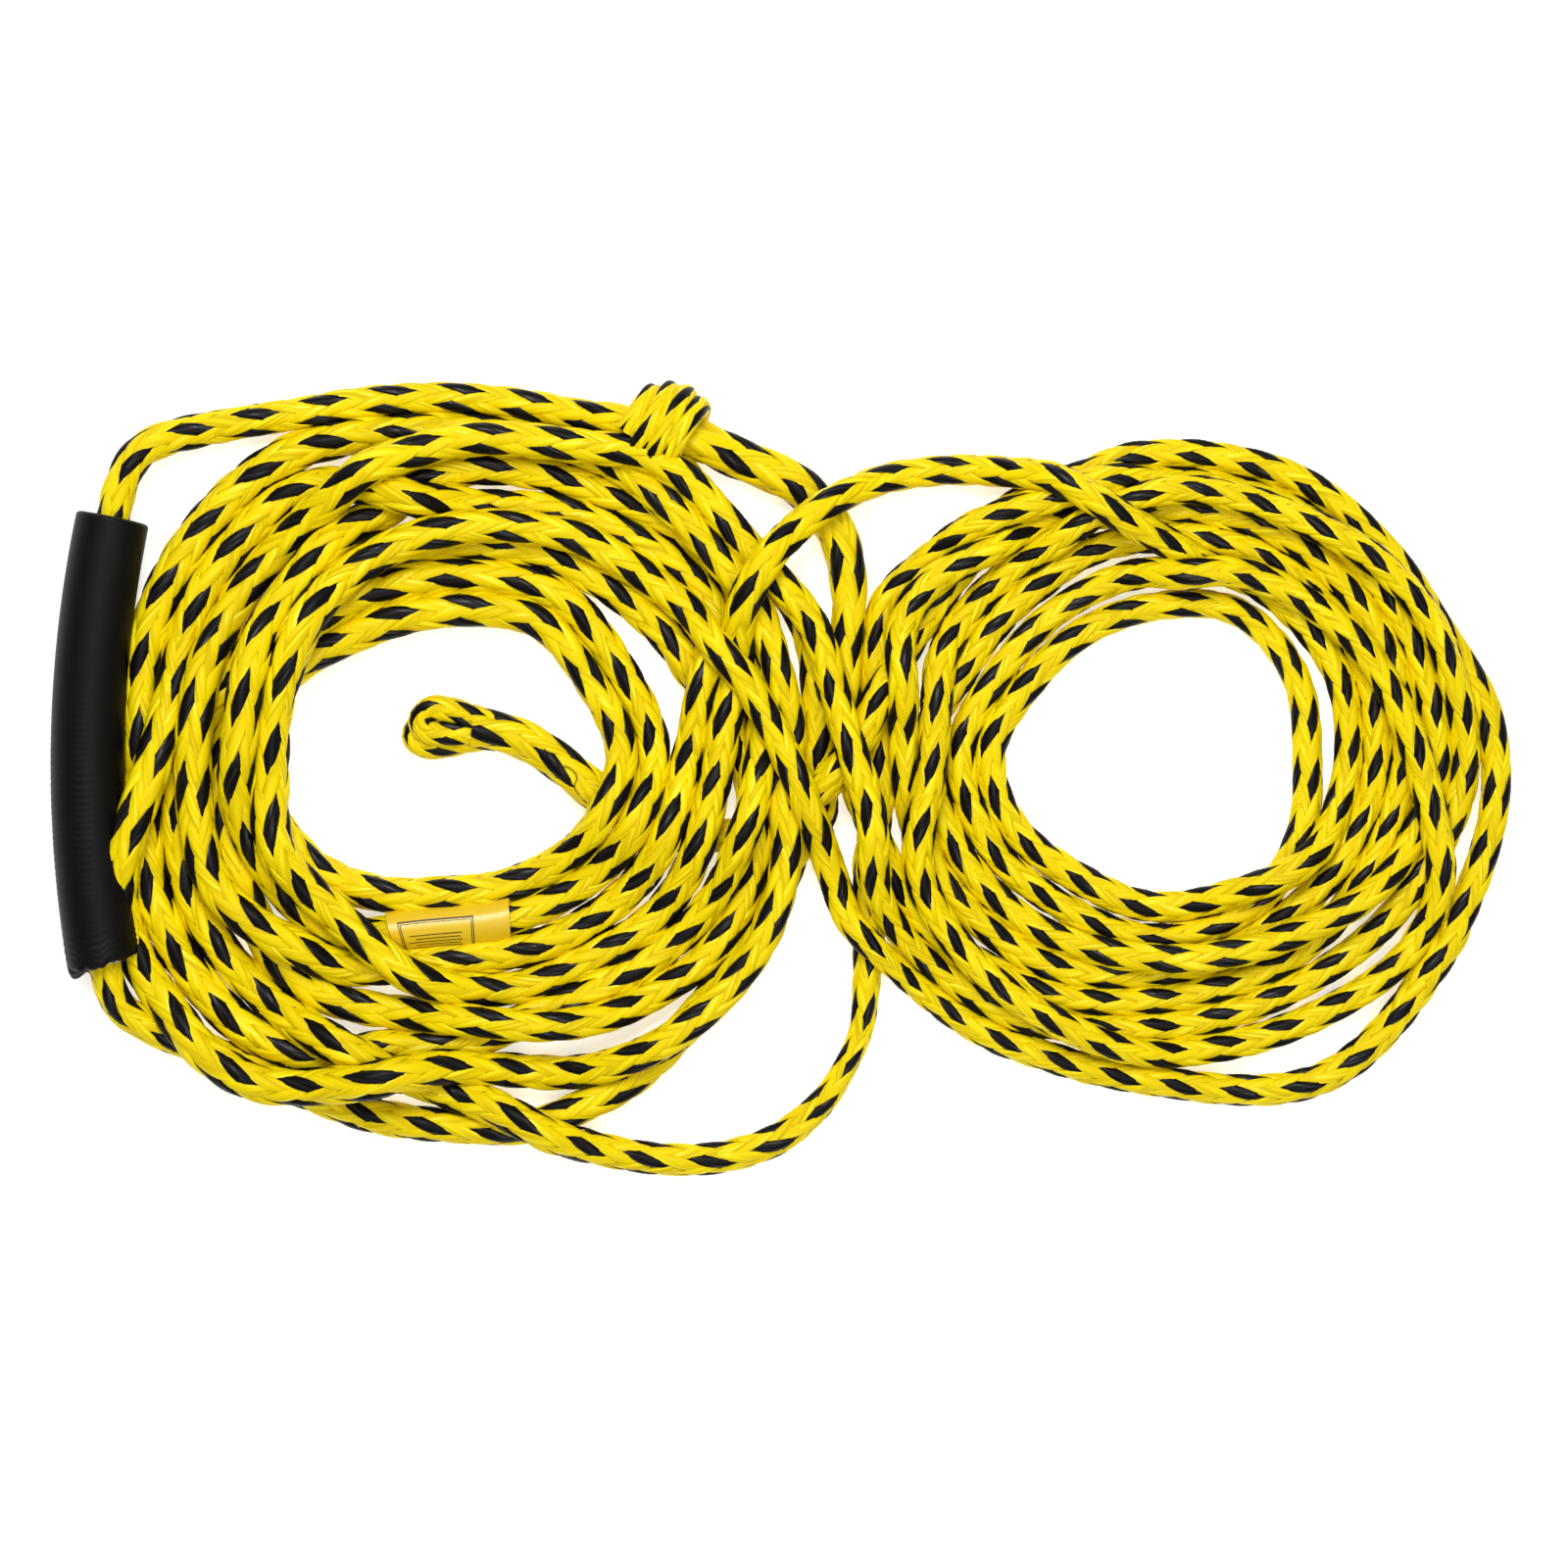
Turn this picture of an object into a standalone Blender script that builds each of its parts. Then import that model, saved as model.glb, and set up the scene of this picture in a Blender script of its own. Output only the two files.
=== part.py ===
"""Tow rope handle: a bowed foam grip that runs on the bridle of a coiled, braided tow rope.

Metres, +Z up. The handle and its rope lie on the plane z = 0. The grip's length runs along Y, its bow
bulges towards -X, and the coil lies on its +X side. The origin is at the bottom centre of the grip.
"""

import math

import bmesh
import bpy
from mathutils import Matrix, Vector

# Driving dimensions.
ROPE_DIAMETER = 0.015
SPLICE_DIAMETER = 0.020
NECK_DIAMETER = 0.017
GRIP_DIAMETER = 0.032
GRIP_CHORD = 0.195
BOW_RADIUS = 0.520
COIL_HEIGHT = 0.040
MESH_GAP = 0.0003

# Grip: foam sleeve on a thin hose.
LINER_OUTER_DIAMETER = 0.0185
LINER_INNER_DIAMETER = 0.0160
LINER_INSET_DEG = 0.10
GRIP_EDGE_ROUND = 0.0012
GRIP_HALF_ANGLE = math.asin(GRIP_CHORD / 2 / BOW_RADIUS)
GRIP_EDGE_ANGLE = GRIP_EDGE_ROUND / BOW_RADIUS
BOW_FAR_SIDE = BOW_RADIUS + GRIP_DIAMETER / 2
BOW_NEAR_SIDE = (BOW_RADIUS - GRIP_DIAMETER / 2) * math.cos(GRIP_HALF_ANGLE - GRIP_EDGE_ANGLE)
BOW_CENTRE_X = (BOW_FAR_SIDE + BOW_NEAR_SIDE) / 2
GRIP_AXIS_HEIGHT = GRIP_DIAMETER / 2

# The grip slides this far along the bowed rope, and the rope keeps the same bow a little further.
TRAVEL_UP_DEG = 1.5
TRAVEL_DOWN_DEG = 0.6
TRAVEL_MARGIN_DEG = 0.3
ROPE_TOP_ANGLE = GRIP_HALF_ANGLE + math.radians(TRAVEL_UP_DEG + TRAVEL_MARGIN_DEG)
ROPE_BOTTOM_ANGLE = -GRIP_HALF_ANGLE - math.radians(TRAVEL_DOWN_DEG + TRAVEL_MARGIN_DEG)

# Stopper knot: a ball of wraps round a nearly level axis.
KNOT_CENTRE = (0.2405, 0.1400, 0.0172)
KNOT_HALF_LENGTH = 0.0180
KNOT_RADIUS = 0.0160
KNOT_AXIS_TURN_DEG = -17
KNOT_WRAPS = 5
KNOT_RIDGE = 0.0009

# Label sleeve: a film tube shrunk round one strand of the coil.
LABEL_DIAMETER = 0.0178
LABEL_BORE = 0.0162
LABEL_FROM = 0.018
LABEL_TO = 0.076

# Tow eye: a small closed loop of thinner rope.
EYE_CENTRE = (0.1453, 0.0104, 0.0052)
EYE_ROPE_DIAMETER = 0.010
EYE_HALF_WIDTH = 0.0078
EYE_HALF_LENGTH = 0.0110
EYE_TURN_DEG = 8

# Outlines of the coil, seen from above: two rings that share their middle.
COIL_OUTLINE = (
    (0.014, -0.010), (0.019, 0.054), (0.042, 0.100), (0.088, 0.130), (0.156, 0.1385), (0.203, 0.1330),
    (0.224, 0.1270), (0.240, 0.1190), (0.256, 0.1070), (0.2745, 0.0875), (0.2900, 0.0710), (0.3000, 0.0690),
    (0.3100, 0.0790), (0.3340, 0.0810), (0.3430, 0.0920), (0.3560, 0.1010), (0.3820, 0.1070),
    (0.3970, 0.1130), (0.4000, 0.1330), (0.4250, 0.1390), (0.4730, 0.1400), (0.5450, 0.1190),
    (0.5930, 0.0650), (0.6110, -0.0030), (0.6000, -0.0640), (0.5540, -0.1250), (0.4870, -0.1480),
    (0.4060, -0.1340), (0.3700, -0.1220), (0.3470, -0.1110), (0.3420, -0.0980), (0.3240, -0.0950),
    (0.3140, -0.0800), (0.3060, -0.0620), (0.3000, -0.0850), (0.2900, -0.1060), (0.2650, -0.1310),
    (0.2320, -0.1490), (0.2130, -0.1580), (0.2060, -0.1780), (0.1760, -0.1730), (0.1320, -0.1700),
    (0.1230, -0.1510), (0.1000, -0.1370), (0.0550, -0.1175), (0.0230, -0.0720),
)
LEFT_HOLE = (
    (0.0840, -0.0040), (0.0920, 0.0340), (0.1180, 0.0520), (0.1500, 0.0570), (0.2000, 0.0500),
    (0.2200, 0.0280), (0.2230, -0.0060), (0.2170, -0.0250), (0.2060, -0.0340), (0.1980, -0.0520),
    (0.1880, -0.0800), (0.1500, -0.0970), (0.1100, -0.0980), (0.0980, -0.0780), (0.0860, -0.0400),
)
RIGHT_HOLE = (
    (0.392, -0.004), (0.404, 0.034), (0.440, 0.053), (0.480, 0.052), (0.510, 0.038), (0.522, -0.004),
    (0.508, -0.042), (0.470, -0.058), (0.430, -0.056), (0.402, -0.038),
)
OUTLINE_STEP = 0.008
HOLE_STEP = 0.012

# Routes of the rope where it is not coiled, as centre points from end to end.
UPPER_LEG_ROUTE = (
    (0.0125, 0.1225, 0.0150), (0.0180, 0.1275, 0.0138), (0.0260, 0.1315, 0.0120), (0.0380, 0.1350, 0.0096),
    (0.0530, 0.1382, 0.0080), (0.0750, 0.1422, 0.0078), (0.0980, 0.1450, 0.0078), (0.1320, 0.1472, 0.0078),
    (0.1660, 0.1477, 0.0080), (0.1890, 0.1470, 0.0095), (0.2070, 0.1445, 0.0125), (0.2223, 0.1430, 0.0155),
)
LOWER_LEG_ROUTE = (
    (0.0110, -0.1150, 0.0150), (0.0170, -0.1195, 0.0138), (0.0250, -0.1235, 0.0120), (0.0350, -0.1275, 0.0100),
    (0.0510, -0.1340, 0.0082), (0.0730, -0.1430, 0.0078), (0.0960, -0.1520, 0.0078), (0.1206, -0.1601, 0.0078),
)
SPLICE_ROUTE = (
    (0.2594, 0.1342, 0.0125), (0.2700, 0.1295, 0.0110), (0.2850, 0.1245, 0.0102), (0.2990, 0.1185, 0.0102),
    (0.3100, 0.1090, 0.0102), (0.3175, 0.0980, 0.0102), (0.3222, 0.0842, 0.0102),
)
CROSSING_ROUTE = (
    (0.3966, 0.1231, 0.0200), (0.3780, 0.1248, 0.0225), (0.3640, 0.1245, 0.0250), (0.3510, 0.1228, 0.0272),
    (0.3380, 0.1200, 0.0287), (0.3240, 0.1142, 0.0292), (0.3100, 0.1055, 0.0287), (0.2980, 0.0950, 0.0262),
    (0.2885, 0.0838, 0.0222), (0.2851, 0.0789, 0.0205),
)
LOOSE_LOOP_ROUTE = (
    (0.2112, -0.1706, 0.0078), (0.2365, -0.1757, 0.0078), (0.2535, -0.1771, 0.0078), (0.2700, -0.1766, 0.0078),
    (0.2850, -0.1725, 0.0078), (0.2980, -0.1667, 0.0078), (0.3090, -0.1585, 0.0078), (0.3180, -0.1490, 0.0078),
    (0.3245, -0.1390, 0.0078), (0.3292, -0.1285, 0.0078), (0.3325, -0.1180, 0.0078), (0.3348, -0.0995, 0.0078),
)
EYE_NECK_ROUTE = (
    (0.1592, 0.0090, 0.0088), (0.1680, 0.0082, 0.0088), (0.1780, 0.0065, 0.0088), (0.1925, 0.0000, 0.0088),
    (0.2060, -0.0110, 0.0088), (0.2148, -0.0200, 0.0088),
)
LABEL_ROPE_ROUTE = (
    (0.1052, -0.0852, 0.0090), (0.1300, -0.0835, 0.0090), (0.1500, -0.0800, 0.0090), (0.1680, -0.0750, 0.0090),
    (0.1870, -0.0680, 0.0090),
)

TUBE_STEP = 0.022
LEAD_IN = 0.004
TUBE_RESOLUTION = 2
GRIP_SEGMENTS = 32
GRIP_RINGS = 17
KNOT_SEGMENTS = 20
KNOT_RINGS = 25
LABEL_RINGS = 5
EYE_POINTS = 20
ROUND_ANGLE_DEG = 40

YELLOW_ROPE = ("yellow_rope", (0.86, 0.68, 0.02), 0.45, 0.0)
BLACK_FOAM = ("black_foam", (0.012, 0.012, 0.013), 0.70, 0.0)
CLEAR_HOSE = ("clear_hose", (0.60, 0.60, 0.56), 0.35, 0.0)
LABEL_FILM = ("label_film", (0.76, 0.50, 0.01), 0.15, 0.0)


def clear_scene():
    for obj in list(bpy.data.objects):
        bpy.data.objects.remove(obj, do_unlink=True)


def new_collection(name):
    collection = bpy.data.collections.new(name)
    bpy.context.scene.collection.children.link(collection)
    return collection


def add_object(name, data, finish, collection):
    """Link a mesh or curve as one node with its own material."""
    finish_name, colour, roughness, metallic = finish
    material = bpy.data.materials.new(f"{name}_{finish_name}")
    material.use_nodes = True
    shader = material.node_tree.nodes["Principled BSDF"]
    shader.inputs["Base Color"].default_value = (*colour, 1.0)
    shader.inputs["Roughness"].default_value = roughness
    shader.inputs["Metallic"].default_value = metallic
    data.materials.append(material)
    obj = bpy.data.objects.new(name, data)
    collection.objects.link(obj)
    return obj


def bow_point(angle):
    """Point on the grip's axis, at an angle up from the middle of its bow."""
    x = BOW_CENTRE_X - BOW_RADIUS * math.cos(angle)
    y = BOW_RADIUS * math.sin(angle)
    return Vector((x, y, GRIP_AXIS_HEIGHT))


def bow_route(start_angle, end_angle, count):
    step = (end_angle - start_angle) / (count - 1)
    return [bow_point(start_angle + index * step) for index in range(count)]


def smooth_curve(route, spacing, closed):
    """Points about a spacing apart on a Catmull-Rom curve through a route's points."""
    knots = [Vector(point) for point in route]
    count = len(knots)
    spans = count if closed else count - 1
    points = []
    for span in range(spans):
        start = knots[span]
        end = knots[(span + 1) % count]
        before = knots[span - 1] if closed or span else start
        after = knots[(span + 2) % count] if closed or span + 2 < count else end
        steps = max(1, round((end - start).length / spacing))
        for step in range(steps):
            t = step / steps
            pull = (end - before) * t + (before * 2 - start * 5 + end * 4 - after) * t ** 2
            push = (start * 3 - before - end * 3 + after) * t ** 3
            points.append(start + (pull + push) / 2)
    if not closed:
        points.append(knots[-1])
    return points


def every_part(points, spacing):
    """Thin a fine row of points out to about a spacing apart, keeping both ends."""
    length = sum((b - a).length for a, b in zip(points, points[1:]))
    count = max(2, round(length / spacing) + 1)
    picked = [points[0]]
    travelled = 0.0
    for start, end in zip(points, points[1:]):
        step = (end - start).length
        while len(picked) < count - 1 and travelled + step >= length * len(picked) / (count - 1):
            t = (length * len(picked) / (count - 1) - travelled) / step
            picked.append(start.lerp(end, t))
        travelled += step
    picked.append(points[-1])
    return picked


def rope_tube(name, points, diameter, collection, closed=False):
    """A plain round tube along a row of points, with flat ends."""
    curve = bpy.data.curves.new(name, "CURVE")
    curve.dimensions = "3D"
    curve.bevel_depth = diameter / 2
    curve.bevel_resolution = TUBE_RESOLUTION
    curve.use_fill_caps = not closed
    spline = curve.splines.new("POLY")
    spline.points.add(len(points) - 1)
    for spline_point, point in zip(spline.points, points):
        spline_point.co = (*point, 1.0)
    spline.use_cyclic_u = closed
    spline.use_smooth = True
    return add_object(name, curve, YELLOW_ROPE, collection)


def routed_rope(name, route, diameter, collection):
    fine = smooth_curve(route, ROPE_DIAMETER / 4, closed=False)
    return rope_tube(name, every_part(fine, TUBE_STEP), diameter, collection)


def finish_mesh(bm, name, finish, collection):
    """Turn a bmesh into a smooth-shaded node."""
    bmesh.ops.recalc_face_normals(bm, faces=bm.faces)
    mesh = bpy.data.meshes.new(name)
    bm.to_mesh(mesh)
    bm.free()
    mesh.polygons.foreach_set("use_smooth", [True] * len(mesh.polygons))
    mesh.set_sharp_from_angle(angle=math.radians(ROUND_ANGLE_DEG))
    return add_object(name, mesh, finish, collection)


def ring_round(bm, centre, along, radius, segments):
    """A ring of vertices square to a direction that runs level or nearly so."""
    side = along.cross(Vector((0, 0, 1))).normalized()
    up = side.cross(along).normalized()
    turns = [2 * math.pi * index / segments for index in range(segments)]
    return [bm.verts.new(centre + (side * math.cos(turn) + up * math.sin(turn)) * radius) for turn in turns]


def bridge(bm, first, second):
    count = len(first)
    for index in range(count):
        after = (index + 1) % count
        bm.faces.new((first[index], first[after], second[after], second[index]))


def hollow_tube(name, centres, outer_radii, bore_radius, finish, collection):
    """A tube with a bore along a row of centres, its outer radius given at each centre."""
    bm = bmesh.new()
    last = len(centres) - 1
    outer_rings = []
    inner_rings = []
    for index, centre in enumerate(centres):
        along = (centres[min(index + 1, last)] - centres[max(index - 1, 0)]).normalized()
        outer_rings.append(ring_round(bm, centre, along, outer_radii[index], GRIP_SEGMENTS))
        inner_rings.append(ring_round(bm, centre, along, bore_radius, GRIP_SEGMENTS))
    for rings in (outer_rings, inner_rings):
        for first, second in zip(rings, rings[1:]):
            bridge(bm, first, second)
    bridge(bm, outer_rings[0], inner_rings[0])
    bridge(bm, outer_rings[last], inner_rings[last])
    return finish_mesh(bm, name, finish, collection)


def foam_grip(collection):
    """The foam sleeve, with slightly rounded ends."""
    body_angle = GRIP_HALF_ANGLE - GRIP_EDGE_ANGLE
    body = bow_route(-body_angle, body_angle, GRIP_RINGS)
    centres = [bow_point(-GRIP_HALF_ANGLE), *body, bow_point(GRIP_HALF_ANGLE)]
    radius = GRIP_DIAMETER / 2
    radii = [radius - GRIP_EDGE_ROUND, *[radius] * GRIP_RINGS, radius - GRIP_EDGE_ROUND]
    bore_radius = LINER_OUTER_DIAMETER / 2 + MESH_GAP
    return hollow_tube("foam_grip", centres, radii, bore_radius, BLACK_FOAM, collection)


def grip_liner(collection):
    end_angle = GRIP_HALF_ANGLE - math.radians(LINER_INSET_DEG)
    centres = bow_route(-end_angle, end_angle, GRIP_RINGS)
    radii = [LINER_OUTER_DIAMETER / 2] * GRIP_RINGS
    return hollow_tube("grip_liner", centres, radii, LINER_INNER_DIAMETER / 2, CLEAR_HOSE, collection)


def stopper_knot(collection):
    """An oval ball with a ridge for each wrap of rope."""
    bm = bmesh.new()
    turn = Matrix.Rotation(math.radians(KNOT_AXIS_TURN_DEG), 3, "Z")
    along = turn @ Vector((1, 0, 0))
    centre = Vector(KNOT_CENTRE)
    rings = []
    for index in range(1, KNOT_RINGS):
        share = index / KNOT_RINGS
        ridge = KNOT_RIDGE * math.cos(2 * math.pi * KNOT_WRAPS * share)
        radius = (KNOT_RADIUS - ridge) * math.sin(math.pi * share)
        offset = -KNOT_HALF_LENGTH * math.cos(math.pi * share)
        rings.append(ring_round(bm, centre + along * offset, along, radius, KNOT_SEGMENTS))
    for first, second in zip(rings, rings[1:]):
        bridge(bm, first, second)
    for ring, side in ((rings[0], -1), (rings[-1], 1)):
        tip = bm.verts.new(centre + along * KNOT_HALF_LENGTH * side)
        for index in range(KNOT_SEGMENTS):
            bm.faces.new((ring[index], ring[(index + 1) % KNOT_SEGMENTS], tip))
    return finish_mesh(bm, "stopper_knot", YELLOW_ROPE, collection)


def tow_eye(collection):
    """The small closed loop at the far end of the rope."""
    turn = Matrix.Rotation(math.radians(EYE_TURN_DEG), 3, "Z")
    centre = Vector(EYE_CENTRE)
    points = []
    for index in range(EYE_POINTS):
        angle = 2 * math.pi * index / EYE_POINTS
        flat = Vector((EYE_HALF_WIDTH * math.cos(angle), EYE_HALF_LENGTH * math.sin(angle), 0))
        points.append(centre + turn @ flat)
    return rope_tube("tow_eye", points, EYE_ROPE_DIAMETER, collection, closed=True)


def label_sleeve(collection):
    """The film tube, round part of the label's strand."""
    fine = smooth_curve(LABEL_ROPE_ROUTE, ROPE_DIAMETER / 8, closed=False)
    travelled = 0.0
    inside = []
    for start, end in zip(fine, fine[1:]):
        if LABEL_FROM <= travelled <= LABEL_TO:
            inside.append(start)
        travelled += (end - start).length
    centres = every_part(inside, (LABEL_TO - LABEL_FROM) / LABEL_RINGS)
    radii = [LABEL_DIAMETER / 2] * len(centres)
    return hollow_tube("label_sleeve", centres, radii, LABEL_BORE / 2, LABEL_FILM, collection)


def add_outline(curve, outline, spacing):
    points = smooth_curve([(x, y, 0.0) for x, y in outline], spacing, closed=True)
    spline = curve.splines.new("POLY")
    spline.points.add(len(points) - 1)
    for spline_point, point in zip(spline.points, points):
        spline_point.co = (*point, 1.0)
    spline.use_cyclic_u = True


def rope_coil(collection):
    """The outer shape of the coiled rope: a figure of eight with two holes."""
    curve = bpy.data.curves.new("rope_coil", "CURVE")
    curve.dimensions = "2D"
    curve.fill_mode = "BOTH"
    curve.extrude = COIL_HEIGHT / 2
    add_outline(curve, COIL_OUTLINE, OUTLINE_STEP)
    add_outline(curve, LEFT_HOLE, HOLE_STEP)
    add_outline(curve, RIGHT_HOLE, HOLE_STEP)
    coil = add_object("rope_coil", curve, YELLOW_ROPE, collection)
    coil.location.z = COIL_HEIGHT / 2
    return coil


def leg_rope(name, arc_end, side, route, collection):
    """A leg of the bridle, straight out of the bowed stretch for a short way."""
    gap_angle = MESH_GAP / BOW_RADIUS
    start = bow_point(arc_end + side * gap_angle)
    along = (start - bow_point(arc_end)).normalized()
    fine = smooth_curve((start + along * LEAD_IN, *route), ROPE_DIAMETER / 4, closed=False)
    rope_tube(name, [start, *every_part(fine, TUBE_STEP)], ROPE_DIAMETER, collection)


def bridle(collection):
    """The rope's loop through the grip, from the knot out and back to the coil."""
    inside = bow_route(ROPE_BOTTOM_ANGLE, ROPE_TOP_ANGLE, GRIP_RINGS)
    rope_tube("grip_rope", inside, ROPE_DIAMETER, collection)
    leg_rope("upper_leg_rope", ROPE_TOP_ANGLE, 1, UPPER_LEG_ROUTE, collection)
    leg_rope("lower_leg_rope", ROPE_BOTTOM_ANGLE, -1, LOWER_LEG_ROUTE, collection)


def loose_ropes(collection):
    """The stretches that stand clear of the coil."""
    routed_rope("splice_rope", SPLICE_ROUTE, SPLICE_DIAMETER, collection)
    routed_rope("crossing_rope", CROSSING_ROUTE, ROPE_DIAMETER, collection)
    routed_rope("loose_loop_rope", LOOSE_LOOP_ROUTE, ROPE_DIAMETER, collection)
    routed_rope("eye_neck_rope", EYE_NECK_ROUTE, NECK_DIAMETER, collection)
    routed_rope("label_rope", LABEL_ROPE_ROUTE, ROPE_DIAMETER, collection)


def build():
    clear_scene()
    collection = new_collection("tow_rope_handle")
    foam_grip(collection)
    grip_liner(collection)
    bridle(collection)
    stopper_knot(collection)
    loose_ropes(collection)
    rope_coil(collection)
    tow_eye(collection)
    label_sleeve(collection)


build()
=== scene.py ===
"""Tow rope handle: a bowed foam grip on a bridle of two-colour braided rope, with the rest of the
rope laid in two rings of loops, a stopper knot, a sleeve label and a small towing eye."""
import math

import bpy
import numpy as np
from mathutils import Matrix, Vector


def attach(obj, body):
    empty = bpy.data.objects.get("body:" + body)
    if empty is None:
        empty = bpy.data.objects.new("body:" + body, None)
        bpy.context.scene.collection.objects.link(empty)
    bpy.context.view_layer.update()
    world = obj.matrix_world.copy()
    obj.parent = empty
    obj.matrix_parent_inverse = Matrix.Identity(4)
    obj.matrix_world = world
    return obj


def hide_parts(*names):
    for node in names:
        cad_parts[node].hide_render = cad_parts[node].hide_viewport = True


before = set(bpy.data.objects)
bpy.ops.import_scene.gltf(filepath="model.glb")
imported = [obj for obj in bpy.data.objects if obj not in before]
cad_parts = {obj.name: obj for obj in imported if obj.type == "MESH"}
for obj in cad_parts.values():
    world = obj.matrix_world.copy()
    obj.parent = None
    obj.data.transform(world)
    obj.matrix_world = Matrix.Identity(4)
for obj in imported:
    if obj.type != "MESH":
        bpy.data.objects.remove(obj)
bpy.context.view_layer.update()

MM = 0.001
SEED = 11                   # every rope draws its unevenness from this seed

# ---------------------------------------------------------------- rope route (millimetres)
# Each ring of loops has twelve stations 30 degrees apart; a loop gives the distance of its centre
# line from the ring's centre at every station. None leaves a station to the route that joins there.
LEFT_CENTRE = (150, -2)
RIGHT_CENTRE = (455, 2)
LEFT_STATIONS = [-30 * number for number in range(12)]
RIGHT_STATIONS = [180 + 30 * number for number in range(12)]

LEFT_LOOPS = [
    [None, None, None, 145, 133, 127, 112, 92, 90, 87, 96, 108],
    [130, 147, 131, 115, 118, 104, 91, 79, 69, 67, 72, 73],
    [77, 72, 65, 63, 70, 82, 87, 83, 77, 76, 83, 80],
    [91, 86, 78, 77, 92, 91, 85, 88, 102, 122, 133, 144],
    [138, 132, 121, 127, 148, 143, 131, 140, 146, 143, 142, 147],
    [149, 160, 155, 136, 165, 158, 124, 128, 130, 107, 118, 133],
    [105, 101, 94, 89, 104, 114, 108, 111, 117, 134, 151, None],
    [119, 117, 111, 101, 85, 84, 79, 81, 87, 96, 110, None],
]
RIGHT_LOOPS = [
    [None, 124, 114, 106, 106, 108, 107, 112, 114, 107, 112, 122],
    [106, 105, 101, 97, 90, 95, 100, 102, 100, 96, 91, 88],
    [98, 92, 89, 88, 94, 112, 127, 124, 126, 124, 121, 133],
    [None, 132, 129, 116, 118, 127, 137, 134, 121, 115, 101, 100],
    [94, 113, 119, 127, 133, 142, 116, 102, 90, 81, 75, 74],
    [80, 79, 75, 79, 80, 76, 69, 73, 74, 65, 61, 61],
    [71, 66, 61, 65, 70, 82, 91, 95, 89, None, None, None],
    [None, 148, 138, 140, 159, 152, 151, 136, 134, 125, 122, 114],
]

# Routes between the rings, at both ends of the line and along the bridle.
SPLICE_ROUTE = [(246, 138), (253, 136.5), (260, 134), (271, 129), (282, 125), (292, 121), (301, 117),
                (311, 107), (318, 97), (322, 84), (325, 61), (326, 39), (327, 17), (329, -4), (334, -25)]
LOOSE_ROUTE = [(335, 49), (335, 26), (336, 1), (337, -29), (336, -63), (335, -89), (334, -108),
               (333, -119), (329, -129), (324, -139), (318, -149), (309, -158), (298, -167),
               (286, -172), (271, -176), (254, -177), (237, -176), (217, -172), (201, -167),
               (177, -157)]
TOP_ROUTE = [(231, 129), (251, 119), (266, 103), (282, 84), (298, 69), (309, 54), (317, 30),
             (326, 1), (335, -27)]
RETURN_ROUTE = [(480, 86), (461, 94), (435, 108), (416, 118), (396, 123), (372, 125), (351, 123),
                (337, 120), (324, 114), (310, 106), (298, 95), (288, 84), (281, 71), (275, 55),
                (271, 38), (270, 20)]
CROSS_ROUTE = [(209, 92), (229, 81), (253, 63), (270, 44), (288, 17), (301, -9), (311, -32),
               (320, -55)]
TAIL_ROUTE = [(342, 36), (332, 12), (320, -8), (302, -24), (280, -34), (257, -37), (239, -33),
              (225, -25), (214, -17), (204, -9), (193, -1), (179, 6), (168, 8.2), (160, 9)]
UPPER_LEG = [(12.5, 122.5), (18, 127.5), (26, 131.5), (38, 135), (53, 138.2), (75, 142.2),
             (98, 145), (132, 147.2), (166, 147.7), (189, 147), (207, 144.5), (222, 143), (228, 142.5),
             (234, 141.5)]
LOWER_LEG = [(11, -115), (17, -119.5), (25, -123.5), (35, -127.5), (51, -134), (73, -143),
             (96, -152), (120, -160), (145, -163.5), (169, -164)]
HIDDEN_LEG = [(190, -164), (211, -155), (235, -140), (259, -116), (280, -88), (297, -54),
              (307, -21), (311, 13), (311, 38), (302, 63), (284, 82), (267, 102), (255, 115),
              (249, 124), (245, 131), (241, 137)]

UPPER_LEG_ORDER = 8
LOWER_LEG_ORDER = -2

# The stretches of the line from the knot to the eye, each with its order in the pile, lowest first.
# Where a stretch dips or rides up, a list gives the order station by station.
LINE = [
    ("splice", SPLICE_ROUTE, -1),
    ("right", 0, 0), ("right", 1, 1), ("right", 2, 2),
    ("loose", LOOSE_ROUTE, -1),
    ("left", 0, 3), ("left", 1, 4), ("left", 2, 5), ("left", 3, 6),
    ("left", 4, [7, 4, 2, 2, 5, 7, 7, 7, 7, 7, 7, 7]),
    ("left", 5, 8), ("left", 6, 9),
    ("top", TOP_ROUTE, 10),
    ("right", 3, 10), ("right", 4, [11, 11, 11, 11, 12, 14, 14, 15, 16, 15, 14, 12]),
    ("right", 5, 12),
    ("right", 6, [13, 13, 13, 13, 13, 14, 13, 12, 11, 0, 0, 0]),
    ("return", RETURN_ROUTE, [11, 11, 12] + [14] * 13),
    ("left", 7, [13, 14, 14, 14, 14, 13, 9, 6, 5, 6, 12, 15]),
    ("cross", CROSS_ROUTE, 16),
    ("right", 7, [16, 16, 15, 14, 12, 10, 8, 3, -1, -1, -1, -1]),
    ("tail", TAIL_ROUTE, -1),
]

# ---------------------------------------------------------------- settling the rope
ROPE_D = 0.0150             # free rope
SPLICE_D = 0.0190           # the thick stretch below the stopper knot
SPLICE_LENGTH = 0.100
NECK_D = 0.0168             # the spliced stretch next to the eye
NECK_LENGTH = 0.110
SPLICE_TAPER = 0.050        # length over which a splice thins to free rope
# The slack rope lies fuller where it is heaped by the grip and leaner across the right ring.
FULLNESS_X = [0.06, 0.12, 0.20, 0.30, 0.42]
FULLNESS = [1.12, 1.10, 1.03, 0.965, 0.91]
# The loose bight is pulled slim where it comes out from under the right ring.
SLIM_PLACE = (0.335, -0.112)
SLIM_REACH = 0.034
SLIM_SHARE = 0.22
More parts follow.
